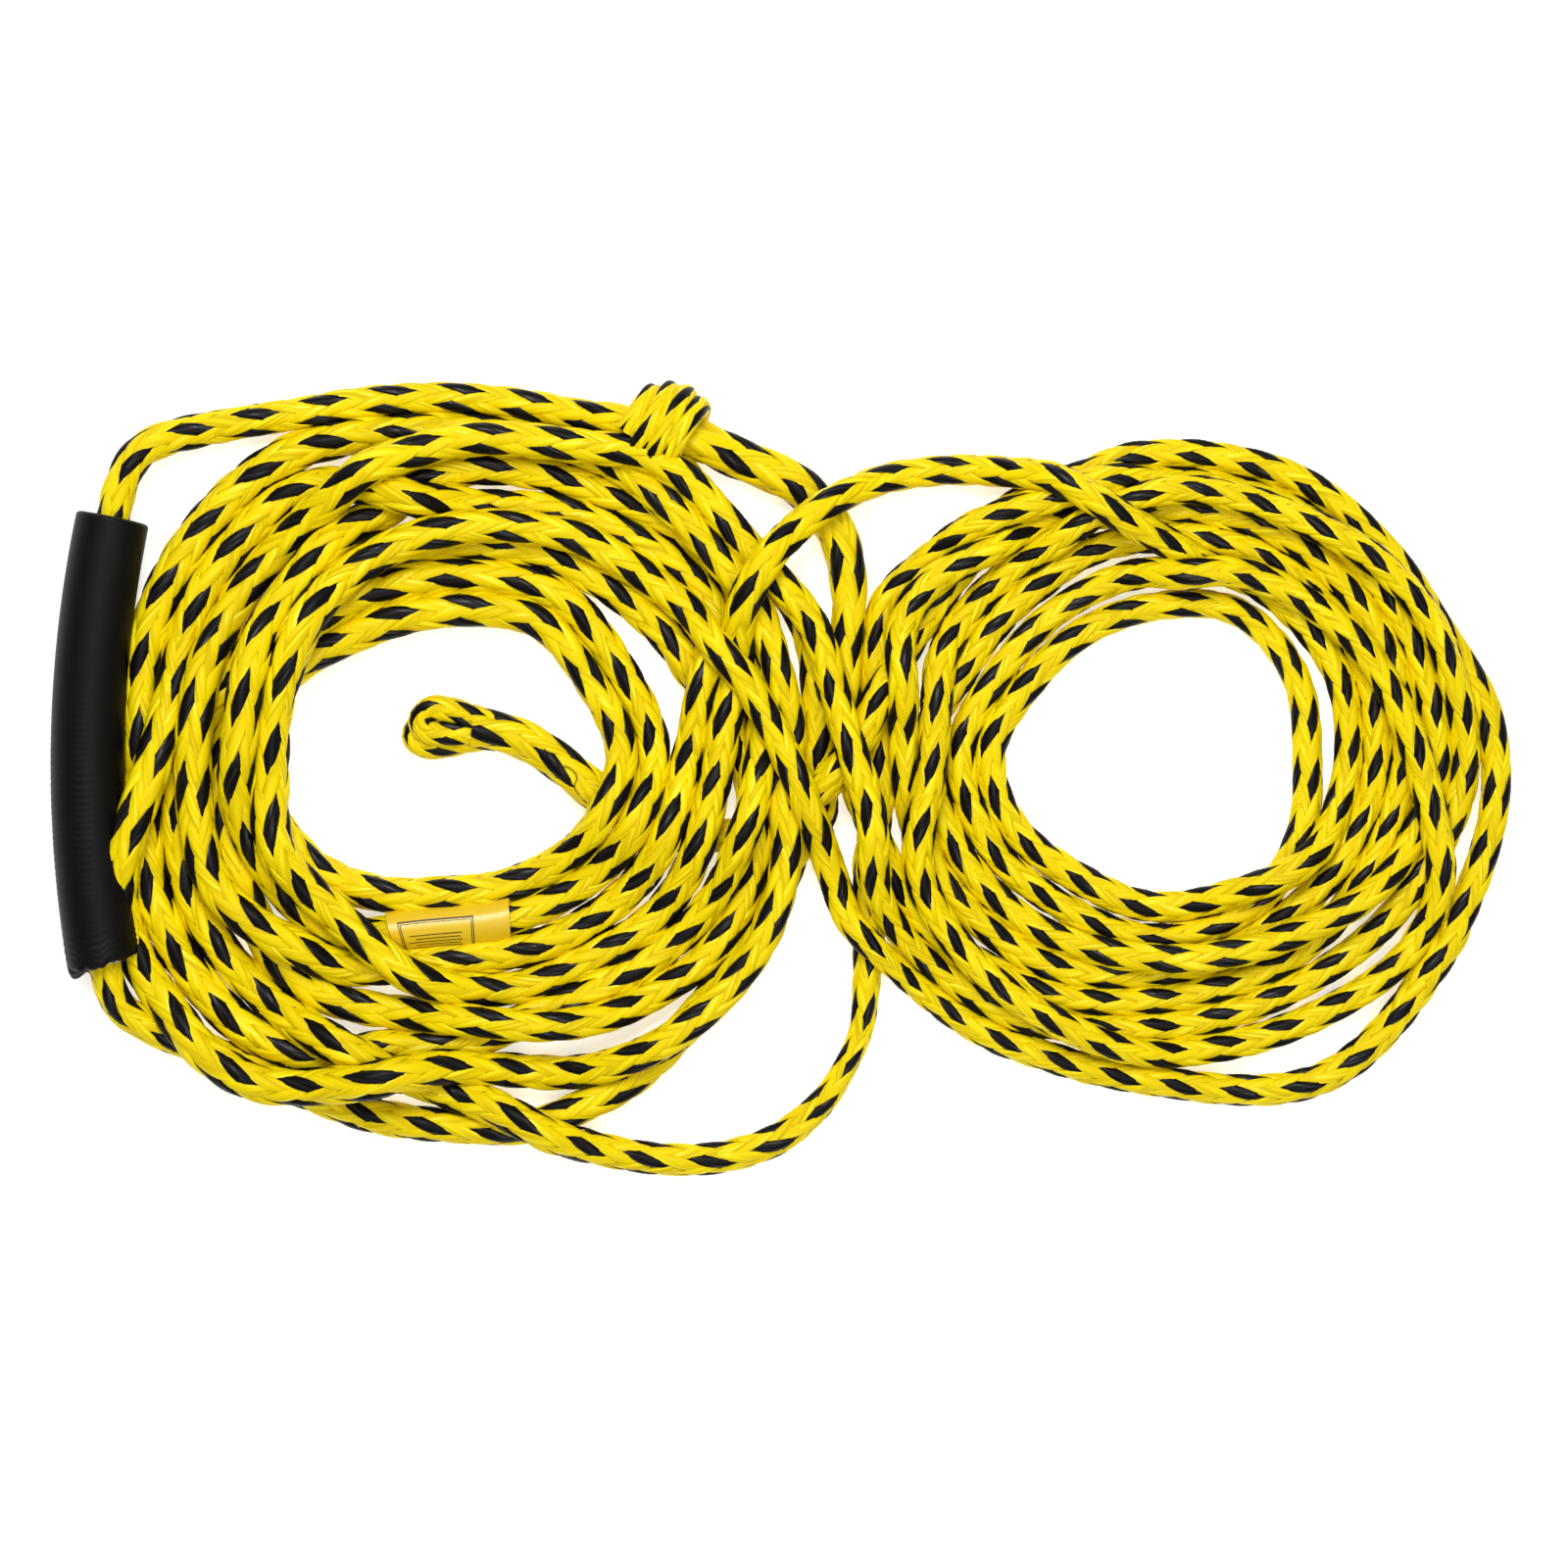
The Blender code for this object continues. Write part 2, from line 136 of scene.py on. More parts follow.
# Fixed heights of the centre lines at their ends.
LEG_HEIGHTS = [0.0150, 0.0142, 0.0130]      # leaving the grip
KNOT_HEIGHT = 0.0160
HIDDEN_HEIGHTS = [0.0110, 0.0130, 0.0150]   # the lower leg, rising into the knot
EYE_HEIGHT = 0.0078
END_POINTS = 3              # points held at an end
EYE_POINTS = 4

NODE_STEP = 0.006           # spacing of the centre points that settle
ORDER_REACH = 4             # points over which a change of order is smoothed
FLOOR_GAP = 1.06            # resting height of a centre line, in half diameters
PACKING = 0.90              # how far apart two centre lines are kept, as a share of the diameter
STACK_STEP = 0.0140         # starting height between one order and the next
LOWEST_ORDER = -2
SETTLE_ROUNDS = 520
LAST_ROUNDS = 80            # the closing rounds, in which the ropes only just sink
PAIR_ROUNDS = 8             # rounds between two searches for touching points
PAIR_REACH = 0.022          # how near two points have to be to count as touching for those rounds
GRAVITY_STEP = 0.0006       # fall of every point in one round
LAST_GRAVITY = 0.25         # share of the gravity step in the closing rounds
FALL_RATE = 0.022           # extra fall of a high point, as a share of its height
HOLD = 0.20                 # pull of every point towards its place in the lay
PUSHES = 3                  # times a round that touching points are pushed apart
PUSH_GAIN = 1.35            # share of an overlap that one push takes away
PUSH_CROWD = 0.75           # how strongly the push is shared out where many points touch
BEND_PULL = (0.25, 0.25, 0.45)  # pull towards the line's own smooth bend, in x, y and height
SPACING_PULL = 0.25         # pull of neighbouring points back to their spacing
NEAR_ALONG = 6              # points this close along the same rope never push each other
CURVE_STEPS = 24            # steps of a floor curve between two given points
SPACE_STEPS = 16            # the same for a curve in space


def ring_points(centre, stations, loop):
    """Stations of one loop that carry a distance, as points."""
    points = []
    for angle, radius in zip(stations, loop):
        if radius is not None:
            turn = math.radians(angle)
            points.append((centre[0] + radius * math.cos(turn), centre[1] + radius * math.sin(turn)))
    return points


def line_route():
    """The whole main line as (x, y, order) rows in metres."""
    rows = []
    for kind, what, order in LINE:
        if kind == "left":
            loop = LEFT_LOOPS[what]
            points = ring_points(LEFT_CENTRE, LEFT_STATIONS, loop)
        elif kind == "right":
            loop = RIGHT_LOOPS[what]
            points = ring_points(RIGHT_CENTRE, RIGHT_STATIONS, loop)
        else:
            points, loop = what, what
        orders = order if isinstance(order, list) else [order] * len(loop)
        kept = [value for value, station in zip(orders, loop) if station is not None]
        rows += [(x * MM, y * MM, value) for (x, y), value in zip(points, kept)]
    return np.array(rows)


def curve_through(rows, knots, steps):
    """A dense Catmull-Rom curve through rows that stand at the given knots."""
    slopes = np.gradient(rows, knots, axis=0)
    dense = []
    for i in range(len(rows) - 1):
        width = knots[i + 1] - knots[i]
        for t in np.linspace(0, 1, steps, endpoint=False):
            start = (2 * t ** 3 - 3 * t ** 2 + 1) * rows[i] + (t ** 3 - 2 * t ** 2 + t) * width * slopes[i]
            end_slope = (t ** 3 - t ** 2) * width * slopes[i + 1]
            dense.append(start + (3 * t ** 2 - 2 * t ** 3) * rows[i + 1] + end_slope)
    dense.append(rows[-1])
    return np.array(dense)


def smooth_rows(rows, step):
    """Rows of (x, y, order) along a centripetal curve, evenly spaced by about step on the floor."""
    gaps = np.maximum(np.linalg.norm(np.diff(rows[:, :2], axis=0), axis=1), 1e-6) ** 0.5
    knots = np.concatenate([[0], np.cumsum(gaps)])
    return even_rows(curve_through(rows, knots, CURVE_STEPS), step, 2)


def smooth_space(points):
    """A smooth curve through a few points in space."""
    return curve_through(points, np.arange(len(points)), SPACE_STEPS)


def even_rows(rows, step, columns):
    """The same line with its rows evenly spaced along the length measured in the first columns."""
    run = np.concatenate([[0], np.cumsum(np.linalg.norm(np.diff(rows[:, :columns], axis=0), axis=1))])
    count = max(2, int(round(run[-1] / step)) + 1)
    marks = np.linspace(0, run[-1], count)
    return np.stack([np.interp(marks, run, rows[:, c]) for c in range(rows.shape[1])], axis=1)


def averaged(values, reach):
    """Running mean along the first axis, ends held."""
    padded = np.concatenate([np.repeat(values[:1], reach, 0), values, np.repeat(values[-1:], reach, 0)])
    total = np.cumsum(np.concatenate([np.zeros_like(padded[:1]), padded]), axis=0)
    return (total[2 * reach + 1:] - total[:-2 * reach - 1]) / (2 * reach + 1)


def touching_pairs(points, rope, reach):
    """Index pairs closer than reach, leaving out close neighbours along one rope."""
    first, second = [], []
    for i in range(len(points) - 1):
        gap = points[i + 1:] - points[i]
        near = np.nonzero((np.abs(gap[:, 0]) < reach) & (np.abs(gap[:, 1]) < reach)
                          & (np.abs(gap[:, 2]) < reach))[0] + i + 1
        near = near[(rope[near] != rope[i]) | (near - i > NEAR_ALONG)]
        first.append(np.full(len(near), i))
        second.append(near)
    return np.concatenate(first), np.concatenate(second)


def pushed_apart(points, pairs, reach, free):
    """Moves every touching pair apart by its overlap, shared between the two."""
    first, second = pairs
    gap = points[second] - points[first]
    far = np.linalg.norm(gap, axis=1)
    hit = far < reach[first] + reach[second]
    first, second, gap, far = first[hit], second[hit], gap[hit], np.maximum(far[hit], 1e-6)
    push = gap / far[:, None] * (0.5 * (reach[first] + reach[second] - far))[:, None]
    moved = np.zeros_like(points)
    count = np.zeros(len(points))
    np.add.at(moved, first, -push)
    np.add.at(moved, second, push)
    np.add.at(count, first, 1)
    np.add.at(count, second, 1)
    return points + free[:, None] * PUSH_GAIN * moved / np.maximum(count, 1)[:, None] ** PUSH_CROWD


def kept_apart_along(points, inside, spacing, free):
    """Pulls neighbouring points of one rope back to their spacing."""
    gap = points[1:] - points[:-1]
    far = np.maximum(np.linalg.norm(gap, axis=1), 1e-6)
    fix = np.where(inside, SPACING_PULL * (far - spacing) / far, 0)[:, None] * gap
    moved = np.zeros_like(points)
    moved[:-1] += fix
    moved[1:] -= fix
    return points + free[:, None] * moved


def settled(lines, diameters, held):
    """Lets the ropes drop onto the floor and onto each other. A line is (x, y, order) rows, or
    (x, y, height) where a row is held."""
    rope = np.concatenate([np.full(len(line), i) for i, line in enumerate(lines)])
    rows = np.concatenate(lines)
    half = np.concatenate(diameters) / 2
    free = 1.0 - np.concatenate(held)
    target = rows[:, :2].copy()
    points = rows.copy()
    lifted = half + np.maximum(rows[:, 2] - LOWEST_ORDER, 0) * STACK_STEP
    points[:, 2] = np.where(free == 0, rows[:, 2], lifted)
    ends = np.cumsum([len(line) for line in lines])
    inner = np.ones(len(points), bool)
    inner[ends - 1] = False
    inner[np.concatenate([[0], ends[:-1]])] = False
    inside = rope[1:] == rope[:-1]
    spacing = np.linalg.norm(np.diff(target, axis=0), axis=1)
    curve = target.copy()
    curve[1:-1] = target[1:-1] - 0.5 * (target[:-2] + target[2:])
    for turn in range(SETTLE_ROUNDS):
        if turn % PAIR_ROUNDS == 0:
            pairs = touching_pairs(points, rope, PAIR_REACH)
        if turn > SETTLE_ROUNDS - LAST_ROUNDS:
            fall = GRAVITY_STEP * LAST_GRAVITY
        else:
            fall = GRAVITY_STEP + FALL_RATE * (points[:, 2] - half)
        points[:, 2] -= free * fall
        points[:, :2] += (free * HOLD)[:, None] * (target - points[:, :2])
        for _ in range(PUSHES):
            points = pushed_apart(points, pairs, half * PACKING, free)
            points[:, 2] = np.maximum(points[:, 2], half * FLOOR_GAP)
        middle = points.copy()
        middle[1:-1] = 0.5 * (points[:-2] + points[2:])
        middle[:, :2] += np.where(inner[:, None], curve, 0)
        bend = np.where(inner, free, 0)[:, None] * np.array(BEND_PULL)
        points += bend * (middle - points)
        points = kept_apart_along(points, inside, spacing, free)
        points[:, 2] = np.maximum(points[:, 2], half * FLOOR_GAP)
    return [points[start:end] for start, end in zip(np.concatenate([[0], ends[:-1]]), ends)]


def leg_rows(route, order):
    """Rows of one leg of the bridle, with the heights at which it leaves the grip."""
    leg = smooth_rows(np.array([(x * MM, y * MM, float(order)) for x, y in route]), NODE_STEP)
    leg[:END_POINTS, 2] = LEG_HEIGHTS
    return leg


def held_ends(count, first, last):
    """One for every held point of a rope, zero for the others."""
    held = np.zeros(count)
    held[:first] = 1
    held[-last:] = 1
    return held


def line_diameters(line):
    """Diameter of the main line at every centre point."""
    run = np.arange(len(line)) * NODE_STEP
    thick = SPLICE_D + (ROPE_D - SPLICE_D) * np.clip((run - SPLICE_LENGTH) / SPLICE_TAPER, 0, 1)
    thick = thick + (NECK_D - ROPE_D) * np.clip((run - run[-1] + NECK_LENGTH) / SPLICE_TAPER, 0, 1)
    thick = thick * np.interp(line[:, 0], FULLNESS_X, FULLNESS)
    from_bight = np.hypot(*(line[:, :2] - SLIM_PLACE).T)
    return thick * (1 - SLIM_SHARE * np.exp(-(from_bight / SLIM_REACH) ** 2))


def settled_ropes():
    """Centre lines of the main line and of the bridle's legs, settled, and the main line's diameters."""
    main = smooth_rows(line_route(), NODE_STEP)
    main[:, 2] = averaged(main[:, 2:3], ORDER_REACH)[:, 0]
    main[:END_POINTS, 2] = KNOT_HEIGHT
    main[-EYE_POINTS:, 2] = EYE_HEIGHT
    upper = leg_rows(UPPER_LEG, UPPER_LEG_ORDER)
    upper[-END_POINTS:, 2] = KNOT_HEIGHT
    lower = leg_rows(LOWER_LEG + HIDDEN_LEG, LOWER_LEG_ORDER)
    lower[-END_POINTS:, 2] = HIDDEN_HEIGHTS
    thick = line_diameters(main)
    lines = [main, upper, lower]
    diameters = [thick, np.full(len(upper), ROPE_D), np.full(len(lower), ROPE_D)]
    held = [held_ends(len(main), END_POINTS, EYE_POINTS), held_ends(len(upper), END_POINTS, END_POINTS),
            held_ends(len(lower), END_POINTS, END_POINTS)]
    return settled(lines, diameters, held), thick


# ---------------------------------------------------------------- braided rope
YARNS = 8                   # yarns laid each way round
LAY = 7.8                   # length of one turn of a yarn, in rope diameters
SECTION_STEP = 0.0027       # spacing of the rings of points along a rope
ACROSS = np.array([-1.0, -0.78, -0.46, -0.15, 0.15, 0.46, 0.78, 1.0])
BED = 0.815                 # radius the yarns lie on, as a share of the rope's radius
WEAVE = 0.105               # rise and fall of a yarn as it passes over and under
DOME = 0.082                # thickness of a yarn above its edges
YARN_SPREAD = 1.12          # width of a yellow yarn, as a share of an even division of the rope
DARK_SPREAD = 1.07          # the same for the slimmer black yarns
RIDGE = 0.017               # height of the filament ridges on a yarn
UNEVEN = 0.05               # how much the rope swells and narrows along its length
LEAD = 0.22                 # how much more the yarns laid the first way stand out than the others
DOME_POWER = 0.7            # below 1 gives a yarn a flatter top and steeper edges
RIDGE_RINGS = 9             # rings over which a filament ridge comes and goes
SWELL_RINGS = 14            # rings over which the rope swells or narrows
DRIFT_RINGS = 60            # rings over which the rope rolls a little about its own axis
DRIFT = 0.9                 # how far it rolls (radians)
CORE_SIDES = 10             # sides of the plain tube under the yarns
# Material numbers: four yellows, two blacks and the core. Besides tone that differs at random, the streaks
# carry painted light: the pale yellow and the grey black are painted highlights for the sheen along the
# filaments, the deep yellow is painted shade, and the core is a darker yellow as painted shade in the gaps
# between the yarns.
YELLOW_TONES = [0, 0, 0, 1, 1, 2, 3]
BLACK_TONES = [4, 4, 4, 5]
BLACK_TONE = 4
# the core's colour is painted shade in the gaps between the yarns
CORE_PAINTED_SHADE = 6
SHORTEST_STREAK = 5         # rings a streak of one tone runs for
LONGEST_STREAK = 22


def frames_along(path):
    """Tangent and two side directions at every point, carried along without twisting."""
    tangent = np.gradient(path, axis=0)
    tangent /= np.maximum(np.linalg.norm(tangent, axis=1), 1e-9)[:, None]
    side = np.zeros_like(path)
    start = np.array([0.0, 0.0, 1.0]) if abs(tangent[0][2]) < 0.9 else np.array([1.0, 0.0, 0.0])
    side[0] = start - tangent[0] * start.dot(tangent[0])
    side[0] /= np.linalg.norm(side[0])
    for i in range(1, len(path)):
        side[i] = side[i - 1] - tangent[i] * side[i - 1].dot(tangent[i])
        side[i] /= np.linalg.norm(side[i])
    return tangent, side, np.cross(tangent, side)


def slow_noise(rng, count, reach, size):
    """Smooth random values along a rope, about -size to size."""
    knots = rng.uniform(-1, 1, int(count / reach) + 4)
    marks = np.linspace(0, len(knots) - 1, count)
    return averaged(np.interp(marks, np.arange(len(knots)), knots)[:, None], max(2, reach // 3))[:, 0] * size


def yarn_faces(first, rings, columns):
    """Quads of one yarn whose points start at first, row by row."""
    row, column = np.meshgrid(np.arange(rings - 1), np.arange(columns - 1), indexing="ij")
    corner = first + row * columns + column
    quads = np.stack([corner, corner + 1, corner + columns + 1, corner + columns], axis=-1)
    return quads.reshape(-1, 4)


def tone_rows(rng, rings, columns, tones):
    """Material number of every face of a yarn: streaks that run lengthwise, of tone that differs at random
    and of painted highlight and painted shade for the filaments' sheen.
    """
    rows = np.zeros((rings - 1, columns - 1), int)
    for column in range(columns - 1):
        at = 0
        while at < rings - 1:
            run = int(rng.integers(SHORTEST_STREAK, LONGEST_STREAK))
            rows[at:at + run, column] = tones[int(rng.integers(0, len(tones)))]
            at += run
    return rows.reshape(-1)


def filament_ridges(rng, rings):
    """Fine lengthwise ridges across a yarn that come and go along it."""
    heights = rng.uniform(-1, 1, (int(rings / RIDGE_RINGS) + 3, len(ACROSS)))
    marks = np.linspace(0, len(heights) - 1, rings)
    low = marks.astype(int).clip(0, len(heights) - 2)
    share = (marks - low)[:, None]
    return (heights[low] * (1 - share) + heights[low + 1] * share) * RIDGE


def braid_mesh(name, path, diameters, seed, lay=LAY):
    """A braided rope along a path as one object."""
    return joined_object(name, [braid_arrays(path, diameters, seed, lay)], rope_materials())


def joined_object(name, parts, materials):
    """One object from several sets of points, quads and material numbers."""
    points, quads, tones = [], [], []
    count = 0
    for part_points, part_quads, part_tones in parts:
        points.append(part_points)
        quads.append(part_quads + count)
        tones.append(part_tones)
        count += len(part_points)
    return mesh_object(name, np.concatenate(points), np.concatenate(quads), np.concatenate(tones), materials)


def braid_arrays(path, diameters, seed, lay=LAY):
    """Points, quads and material numbers of a braided rope: eight yarns each way, every second one of
    the first eight black."""
    rng = np.random.default_rng(seed)
    rings = len(path)
    _, side, other = frames_along(path)
    run = np.concatenate([[0], np.cumsum(np.linalg.norm(np.diff(path, axis=0), axis=1))])
    radius = 0.5 * diameters * (1 + slow_noise(rng, rings, SWELL_RINGS, UNEVEN))
    turns = np.concatenate([[0], np.cumsum(np.diff(run) / (lay * 0.5 * (diameters[1:] + diameters[:-1])))])
    drift = slow_noise(rng, rings, DRIFT_RINGS, DRIFT)
    points, quads, tones = [], [], []
    count = 0
    for way in (1, -1):
        for yarn in range(YARNS):
            angle = way * 2 * math.pi * turns + 2 * math.pi * (yarn + (0 if way == 1 else 0.5)) / YARNS
            dark = way == 1 and yarn % 2 == 1
            offset = ACROSS[None, :] * math.pi / YARNS * (DARK_SPREAD if dark else YARN_SPREAD)
            far = radius[:, None] * yarn_heights(rng, angle, offset, way)
            grid = points_round(path, side, other, far, angle[:, None] + drift[:, None] + offset)
            points.append(grid.reshape(-1, 3))
            quads.append(yarn_faces(count, rings, len(ACROSS)))
            count += rings * len(ACROSS)
            tones.append(tone_rows(rng, rings, len(ACROSS), BLACK_TONES if dark else YELLOW_TONES))
    # the core tube is a darker yellow: painted shade that shows in the gaps between the yarns
    core, core_quads = core_tube(path, side, other, radius * (BED - WEAVE), count)
    points.append(core)
    quads.append(core_quads)
    tones.append(np.full(len(core_quads), CORE_PAINTED_SHADE))
    return np.concatenate(points), np.concatenate(quads), np.concatenate(tones)


def yarn_heights(rng, angle, offset, way):
    """Distance of a yarn's points from the rope's axis, as a share of the rope's radius. The yarn rises
    and falls along lines that run with the yarns it crosses, which gives its visible parts pointed ends."""
    rise = (np.sin(YARNS // 2 * (angle[:, None] + 0.5 * offset)) + LEAD) * WEAVE * way
    dome = np.maximum(1 - ACROSS ** 2, 0) ** DOME_POWER * DOME
    return BED + rise + dome[None, :] + filament_ridges(rng, len(angle))


def points_round(path, side, other, far, angle):
    """Points at the given distances and angles round every point of a path."""
    return (path[:, None, :] + (far * np.cos(angle))[:, :, None] * side[:, None, :]
            + (far * np.sin(angle))[:, :, None] * other[:, None, :])


def core_tube(path, side, other, radius, first):
    """The plain tube under the yarns, so nothing shows through between them."""
    angle = np.linspace(0, 2 * math.pi, CORE_SIDES + 1)
    grid = points_round(path, side, other, radius[:, None], angle)
    return grid.reshape(-1, 3), yarn_faces(first, len(path), CORE_SIDES + 1)


def mesh_object(name, points, quads, tones, materials):
    """A smooth-shaded mesh object from arrays."""
    mesh = bpy.data.meshes.new(name)
    mesh.from_pydata(points.tolist(), [], quads.tolist())
    for material in materials:
        mesh.materials.append(material)
    mesh.polygons.foreach_set("material_index", np.asarray(tones, dtype=np.int32))
    mesh.polygons.foreach_set("use_smooth", np.ones(len(quads), dtype=bool))
    mesh.update()
    item = bpy.data.objects.new(name, mesh)
    bpy.context.scene.collection.objects.link(item)
    return item


# ---------------------------------------------------------------- materials
def linear(red, green, blue):
    """Linear colour from 0-255 display values."""
    def channel(value):
        share = value / 255
        return share / 12.92 if share <= 0.04045 else ((share + 0.055) / 1.055) ** 2.4
    return (channel(red), channel(green), channel(blue), 1.0)


def plain_material(name, colour, roughness, specular=0.5, coat=0.0):
    """A one-colour surface, made the first time its name is asked for."""
    found = bpy.data.materials.get(name)
    if found:
        return found
    material = bpy.data.materials.new(name)
    material.use_nodes = True
    shader = material.node_tree.nodes["Principled BSDF"]
    shader.inputs["Base Color"].default_value = colour
    shader.inputs["Roughness"].default_value = roughness
    shader.inputs["Specular IOR Level"].default_value = specular
    shader.inputs["Coat Weight"].default_value = coat
    return material


def rope_materials():
    """Four yellows, two blacks and the core of the rope; the pale yellow and the grey black are painted
    highlights, the deep yellow and the core are painted shade.
    """
    return [
        plain_material("rope_yellow", linear(236, 210, 0), 0.46, specular=0.11),
        plain_material("rope_yellow_warm", linear(228, 200, 0), 0.50, specular=0.11),
        # painted shade: the deep yellow streaks stand for the shade along the filaments
        plain_material("rope_yellow_painted_shade", linear(214, 186, 0), 0.54, specular=0.10),
        # painted highlight: the pale yellow streaks stand for the sheen along the filaments
        plain_material("rope_yellow_painted_highlight", linear(246, 224, 8), 0.38, specular=0.24),
        plain_material("rope_black", linear(11, 9, 8), 0.42, specular=0.11),
        # painted highlight: the grey black streaks stand for the glints along the black filaments
        plain_material("rope_black_painted_highlight", linear(24, 22, 21), 0.34, specular=0.22),
        # painted shade: the core is a darker yellow for the shade between the yarns
        plain_material("rope_core_painted_shade", linear(188, 158, 0), 0.7, specular=0.1),
    ]


# ---------------------------------------------------------------- bow of the grip
GRIP_D = 0.032
GRIP_CHORD = 0.195
BOW_RADIUS = 0.520
BOW_CENTRE_X = 0.51564
GRIP_HEIGHT = 0.016
BOW_HALF = math.asin(GRIP_CHORD / 2 / BOW_RADIUS)
BOW_PAST_TOP = 1.5          # how far the rope keeps to the bow past each end of the grip (degrees)
BOW_PAST_BOTTOM = 0.7
BOW_POINTS = 32
BRIDLE_FULLNESS = 1.01


def bow_point(angle, out=0.0, up=0.0):
    """A point of the grip's bowed axis, or out from it towards the left and up."""
    reach = BOW_RADIUS + out
    return (BOW_CENTRE_X - reach * math.cos(angle), reach * math.sin(angle), GRIP_HEIGHT + up)


def bridle_path(upper, lower):
    """Upper leg, the stretch in the grip and lower leg as one line, from knot to knot."""
    top = BOW_HALF + math.radians(BOW_PAST_TOP)
    bottom = -BOW_HALF - math.radians(BOW_PAST_BOTTOM)
    arc = np.array([bow_point(angle) for angle in np.linspace(top, bottom, BOW_POINTS)])
    return np.concatenate([upper[::-1], arc, lower])


def fine_path(path, step=SECTION_STEP):
    """The path rounded off and evenly spaced."""
    return even_rows(averaged(even_rows(path, step, 3), 2), step, 3)


# ---------------------------------------------------------------- main line and bridle
def rope_pieces():
    """The main line and the bridle as braided rope objects."""
    (main, upper, lower), thick = settled_ropes()
    main_path = fine_path(main)
    share = np.linspace(0, 1, len(main_path))
    main_d = np.interp(share, np.linspace(0, 1, len(thick)), thick)
    line = braid_mesh("main_line", main_path, main_d, SEED)
    bridle_line = fine_path(bridle_path(upper, lower))
    bridle_d = np.full(len(bridle_line), ROPE_D) * BRIDLE_FULLNESS
    bridle = braid_mesh("bridle", bridle_line, bridle_d, SEED + 1)
    return line, main_path, bridle, bridle_line


# ---------------------------------------------------------------- stopper knot
KNOT_CENTRE = (0.2415, 0.1400, 0.0180)
KNOT_TURN = -12             # which way the knot lies on the floor (degrees)
KNOT_WRAPS = 3.6
KNOT_START = 0.5            # where round the knot the first wrap begins (radians)
KNOT_LENGTH = 0.0245
KNOT_BULGE = 0.0155         # radius of the wraps at the middle of the knot
KNOT_ROUNDING = 0.0165      # half length of the egg shape that the wraps follow
KNOT_LEAST_BULGE = 0.2      # keeps the wraps at its ends from closing up
KNOT_LEAN = 0.0030          # how far along the knot a wrap leans from one side to the other
KNOT_FLATNESS = 0.80        # height of a wrap as a share of its width
KNOT_ROPE_D = 0.0108        # the rope is pulled thin and long in the knot
KNOT_LAY = 10.0
KNOT_POINTS = 160
FINE_STEP = 0.0020          # spacing of the rings of points in the knot and the eye


def knot_piece():
    """Stopper knot: the rope wound in steep wraps round itself."""
    centre = np.array(KNOT_CENTRE)
    turn = math.radians(KNOT_TURN)
    along = np.array([math.cos(turn), math.sin(turn), 0])
    across = np.array([-math.sin(turn), math.cos(turn), 0])
    up = np.array([0, 0, 1.0])
    points = []
    for t in np.linspace(0, 1, KNOT_POINTS):
        angle = 2 * math.pi * KNOT_WRAPS * t - KNOT_START
        place = (t - 0.5) * KNOT_LENGTH
        bulge = KNOT_BULGE * math.sqrt(max(KNOT_LEAST_BULGE, 1 - (place / KNOT_ROUNDING) ** 2))
        lean = KNOT_LEAN * math.sin(angle)
        points.append(centre + along * (place + lean) + across * bulge * math.sin(angle)
                      + up * bulge * KNOT_FLATNESS * math.cos(angle))
    path = even_rows(np.array(points), FINE_STEP, 3)
    return braid_mesh("stopper_knot_wraps", path, np.full(len(path), KNOT_ROPE_D), SEED + 2, lay=KNOT_LAY)


# ---------------------------------------------------------------- towing eye
EYE_PLACE = (146.5, 10.4)   # where the eye's own frame lies on the floor (millimetres)
EYE_TURN = -6               # and how it is turned (degrees)
EYE_ROPE_D = 0.0118
EYE_LAY = 6.5
# Centre lines of the eye, in its own frame: out along one side, round the end and back.
EYE_LOOP = [(27, 1.5, 9.5), (20, 3.4, 11), (12, 5.0, 12), (4, 6.6, 12.5), (-2.5, 6.6, 12.5), (-7.0, 3.6, 12),
            (-7.8, -1, 11.4), (-4.5, -4.4, 11), (2, -4.4, 10.6), (12, -2.8, 10.2), (20, -2.0, 9.4),
            (27, -1.5, 9)]
EYE_SECOND_LOOP = [(24, -1, 7), (14, 1.5, 6.4), (4, 2.6, 6.0), (-5, 1.0, 5.9), (-10, -3.0, 5.9),
                   (-10.4, -8.0, 5.9), (-5.5, -11.0, 5.9), (2, -9.8, 5.9), (12, -6.2, 6.2), (24, -2.5, 6.6)]
# Loose black filaments that stand off the neck behind the eye.
FRAY_D = 0.00035
FRAY_STEP = 0.0010
FRAYS = [
    [(196, -1, 16.5), (199, -5, 18.5), (200, -10, 18), (203, -14, 17.5), (207, -16, 16)],
    [(201, -7, 17), (205, -8, 18.8), (208, -12, 18.6), (206, -16, 18), (209, -20, 17)],
    [(192, 2, 16.6), (195, -3, 18.2), (194, -7, 17.6), (197, -10, 16.6)],
]


def eye_path(loop):
    """One loop of the eye, placed on the floor plan."""
    turn = math.radians(EYE_TURN)
    points = [((EYE_PLACE[0] + x * math.cos(turn) - y * math.sin(turn)) * MM,
               (EYE_PLACE[1] + x * math.sin(turn) + y * math.cos(turn)) * MM, z * MM) for x, y, z in loop]
    return fine_path(smooth_space(np.array(points)), FINE_STEP)


def fray_arrays(fray):
    """Points, quads and material numbers of one loose filament."""
    path = fine_path(smooth_space(np.array(fray) * MM), FRAY_STEP)
    _, side, other = frames_along(path)
    hair, hair_quads = core_tube(path, side, other, np.full(len(path), FRAY_D / 2), 0)
    return hair, hair_quads, np.full(len(hair_quads), BLACK_TONE)


def eye_piece():
    """Towing eye: the end of the rope folded back on itself in a small tight double loop."""
    parts = []
    for number, loop in enumerate((EYE_LOOP, EYE_SECOND_LOOP)):
        path = eye_path(loop)
        parts.append(braid_arrays(path, np.full(len(path), EYE_ROPE_D), SEED + 3 + number, lay=EYE_LAY))
    parts += [fray_arrays(fray) for fray in FRAYS]
    return joined_object("tow_eye_loop", parts, rope_materials())


